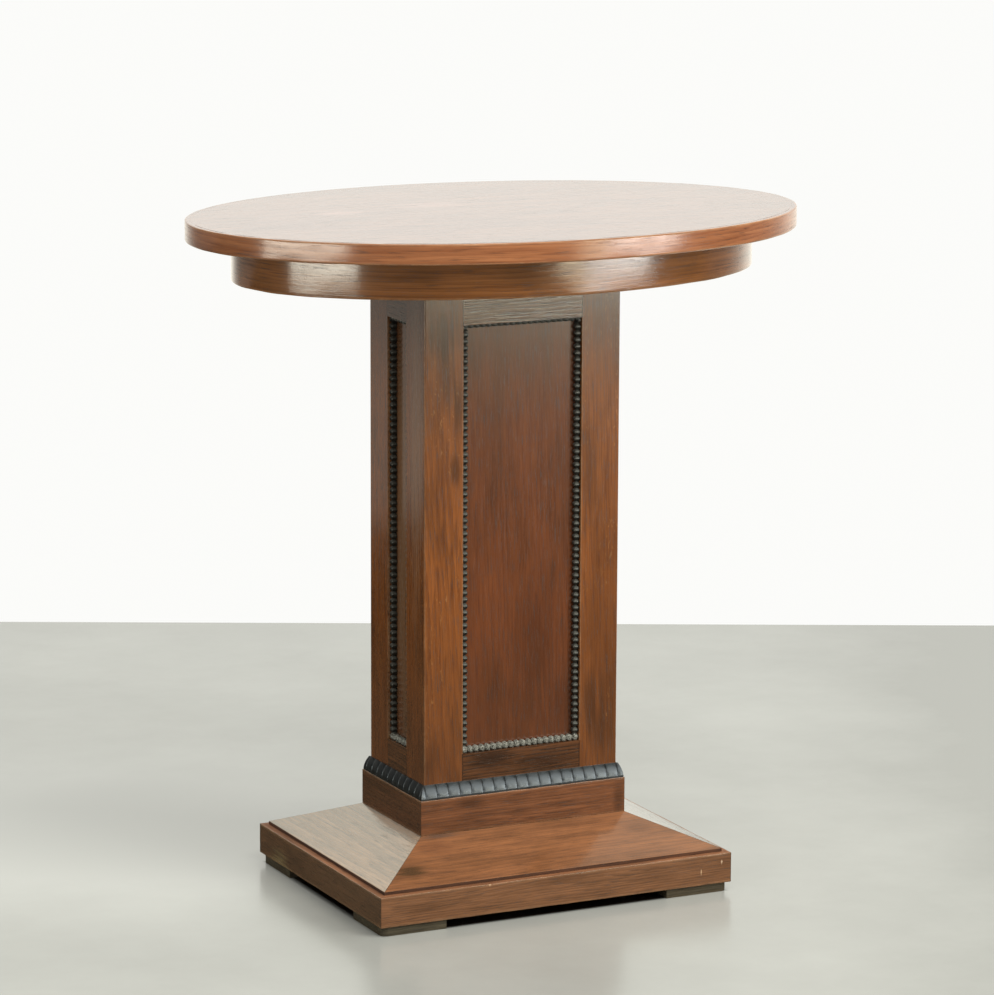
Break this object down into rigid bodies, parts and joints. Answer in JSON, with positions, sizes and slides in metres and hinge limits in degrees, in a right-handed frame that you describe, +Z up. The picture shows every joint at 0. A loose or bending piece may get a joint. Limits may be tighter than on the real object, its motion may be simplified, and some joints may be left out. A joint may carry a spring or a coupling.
{
  "type": "side table",
  "caption": "Oval side table on a framed and panelled pedestal with beaded panels, a lobed foot moulding and a sloped, mitred base on pad feet.",
  "frame": {"origin": "on the floor under the middle of the column and of the oval top", "axes": "+X along the length of the oval top, -Y towards the table's front panel, +Z up"},
  "size_m": [0.7089, 0.508, 0.762],
  "materials": {
    "oak_top": "stained oak veneer, polished gloss",
    "oak_band": "stained oak lipping, polished",
    "oak_hoop": "stained oak, polished",
    "oak_upright": "stained oak, polished, grain upright",
    "oak_panels": "stained oak, polished, grain upright",
    "oak_level": "stained oak, polished, grain along the board",
    "ebonised_trim": "ebonised wood, semi-gloss",
    "oak_feet": "worn oak",
    "beech_inner": "raw beech",
    "steel_screws": "plain steel"
  },
  "bodies": {
    "root": {"top_board": "oak_top", "top_edge_band": "oak_band", "apron_hoop": "oak_hoop", "left_bearer": "beech_inner", "right_bearer": "beech_inner", "apron_glue_blocks": "beech_inner", "bearer_screws": "steel_screws", "front_left_post": "oak_upright", "front_left_foot": "oak_feet", "front_right_post": "oak_upright", "front_right_foot": "oak_feet", "back_right_post": "oak_upright", "back_right_foot": "oak_feet", "back_left_post": "oak_upright", "back_left_foot": "oak_feet", "front_top_rail": "oak_level", "front_bottom_rail": "oak_level", "front_panel": "oak_panels", "front_bead_left": "ebonised_trim", "front_bead_right": "ebonised_trim", "front_bead_ends": "ebonised_trim", "front_gadroon": "ebonised_trim", "front_plinth_board": "oak_level", "front_slope_board": "oak_level", "front_rim_board": "oak_level", "right_top_rail": "oak_level", "right_bottom_rail": "oak_level", "right_panel": "oak_panels", "right_bead_left": "ebonised_trim", "right_bead_right": "ebonised_trim", "right_bead_ends": "ebonised_trim", "right_gadroon": "ebonised_trim", "right_plinth_board": "oak_level", "right_slope_board": "oak_level", "right_rim_board": "oak_level", "back_top_rail": "oak_level", "back_bottom_rail": "oak_level", "back_panel": "oak_panels", "back_bead_left": "ebonised_trim", "back_bead_right": "ebonised_trim", "back_bead_ends": "ebonised_trim", "back_gadroon": "ebonised_trim", "back_plinth_board": "oak_level", "back_slope_board": "oak_level", "back_rim_board": "oak_level", "left_top_rail": "oak_level", "left_bottom_rail": "oak_level", "left_panel": "oak_panels", "left_bead_left": "ebonised_trim", "left_bead_right": "ebonised_trim", "left_bead_ends": "ebonised_trim", "left_gadroon": "ebonised_trim", "left_plinth_board": "oak_level", "left_slope_board": "oak_level", "left_rim_board": "oak_level", "base_board": "beech_inner", "base_corner_blocks": "beech_inner", "post_screws": "steel_screws", "foot_screws": "steel_screws"}
  },
  "joints": []
}
